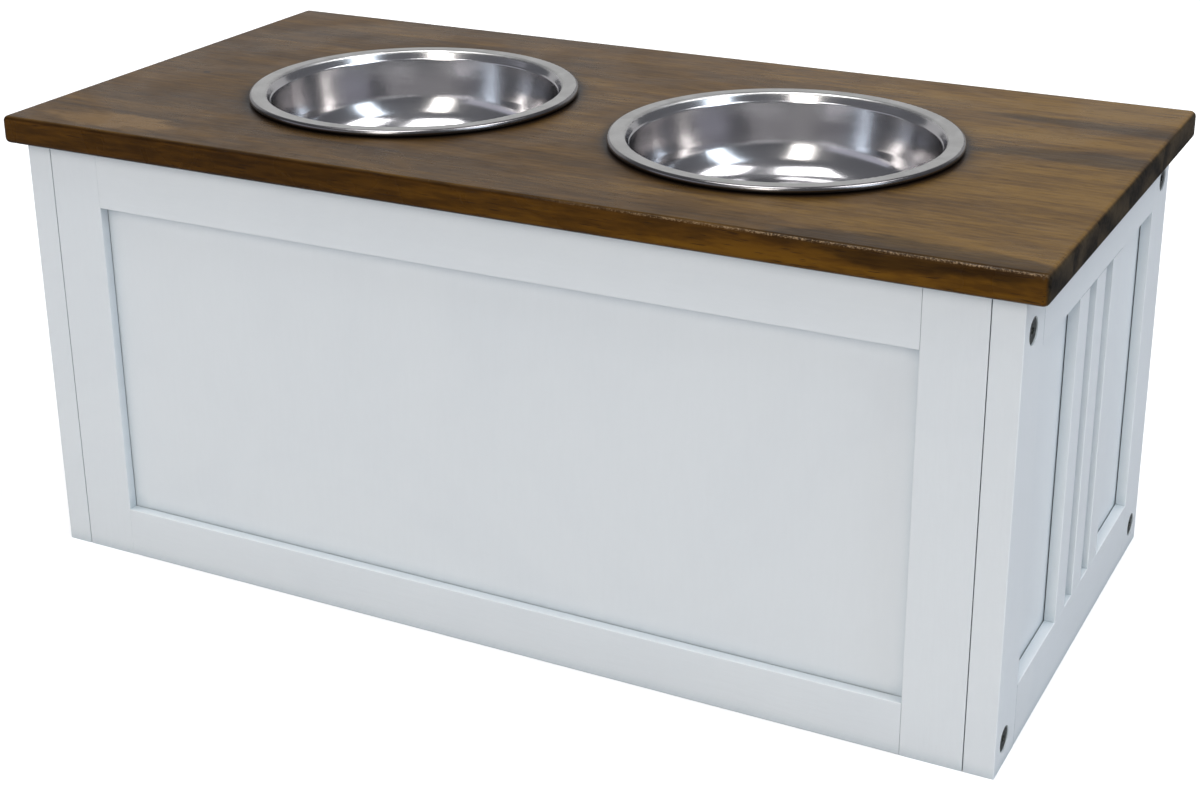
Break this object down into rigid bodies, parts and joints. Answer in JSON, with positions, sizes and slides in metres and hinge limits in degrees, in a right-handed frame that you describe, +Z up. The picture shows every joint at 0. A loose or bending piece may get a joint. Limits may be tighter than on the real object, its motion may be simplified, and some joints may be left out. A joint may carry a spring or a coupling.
{
  "type": "elevated dog feeder with storage",
  "caption": "Raised pet feeding station: a frame-and-panel storage box with a hinged wooden lid that carries lift-out steel bowls.",
  "frame": {"origin": "middle of the footprint on the floor, below the middle of the lid", "axes": "+X along the length to the right, the front faces -Y, +Z up"},
  "size_m": [0.61, 0.305, 0.2741],
  "materials": {
    "stained_wood": "dark walnut stain under a low satin lacquer, with streaked grain",
    "white_painted_wood": "cool white satin paint",
    "plywood": "sanded birch plywood",
    "pine": "planed pine",
    "dowel_wood": "beech dowel",
    "bowl_steel": "polished inside, satin on the rim",
    "bolt_steel": "dark zinc with bright wear",
    "zinc_hardware": "bright zinc plate"
  },
  "bodies": {
    "cabinet": {"back_bottom_rail": "white_painted_wood", "back_left_stile": "white_painted_wood", "back_panel": "white_painted_wood", "back_right_stile": "white_painted_wood", "back_top_rail": "white_painted_wood", "barrel_nuts_left": "zinc_hardware", "barrel_nuts_right": "zinc_hardware", "cleat_screws": "zinc_hardware", "floor_cleat_back": "pine", "floor_cleat_front": "pine", "floor_cleat_left": "pine", "floor_cleat_right": "pine", "floor_panel": "plywood", "front_bottom_rail": "white_painted_wood", "front_left_stile": "white_painted_wood", "front_panel": "white_painted_wood", "front_right_stile": "white_painted_wood", "front_top_rail": "white_painted_wood", "hinge_leaf_back_left": "zinc_hardware", "hinge_leaf_back_right": "zinc_hardware", "hinge_pin_left": "zinc_hardware", "hinge_pin_right": "zinc_hardware", "hinge_screws_back": "zinc_hardware", "left_bottom_rail": "white_painted_wood", "left_front_stile": "white_painted_wood", "left_panel": "white_painted_wood", "left_rear_stile": "white_painted_wood", "left_slat_front": "white_painted_wood", "left_slat_middle": "white_painted_wood", "left_slat_rear": "white_painted_wood", "left_top_rail": "white_painted_wood", "locating_dowels": "dowel_wood", "right_bottom_rail": "white_painted_wood", "right_front_stile": "white_painted_wood", "right_panel": "white_painted_wood", "right_rear_stile": "white_painted_wood", "right_slat_front": "white_painted_wood", "right_slat_middle": "white_painted_wood", "right_slat_rear": "white_painted_wood", "right_top_rail": "white_painted_wood", "side_bolts_left": "bolt_steel", "side_bolts_right": "bolt_steel"},
    "lid": {"lid_board": "stained_wood", "hinge_leaf_lid_left": "zinc_hardware", "hinge_leaf_lid_right": "zinc_hardware", "hinge_screws_lid": "zinc_hardware"},
    "bowl_left": {"bowl_left": "bowl_steel"},
    "bowl_right": {"bowl_right": "bowl_steel"}
  },
  "joints": [
    {"name": "lid_hinge", "type": "hinge", "parent": "cabinet", "child": "lid", "pos_m": [0, 0.1465, 0.2515], "axis": [-1, 0, 0], "range_deg": [0, 120]},
    {"name": "bowl_left_lift", "type": "slide", "parent": "lid", "child": "bowl_left", "axis": [0, 0, 1], "range_m": [0, 0.08]},
    {"name": "bowl_right_lift", "type": "slide", "parent": "lid", "child": "bowl_right", "axis": [0, 0, 1], "range_m": [0, 0.08]}
  ]
}
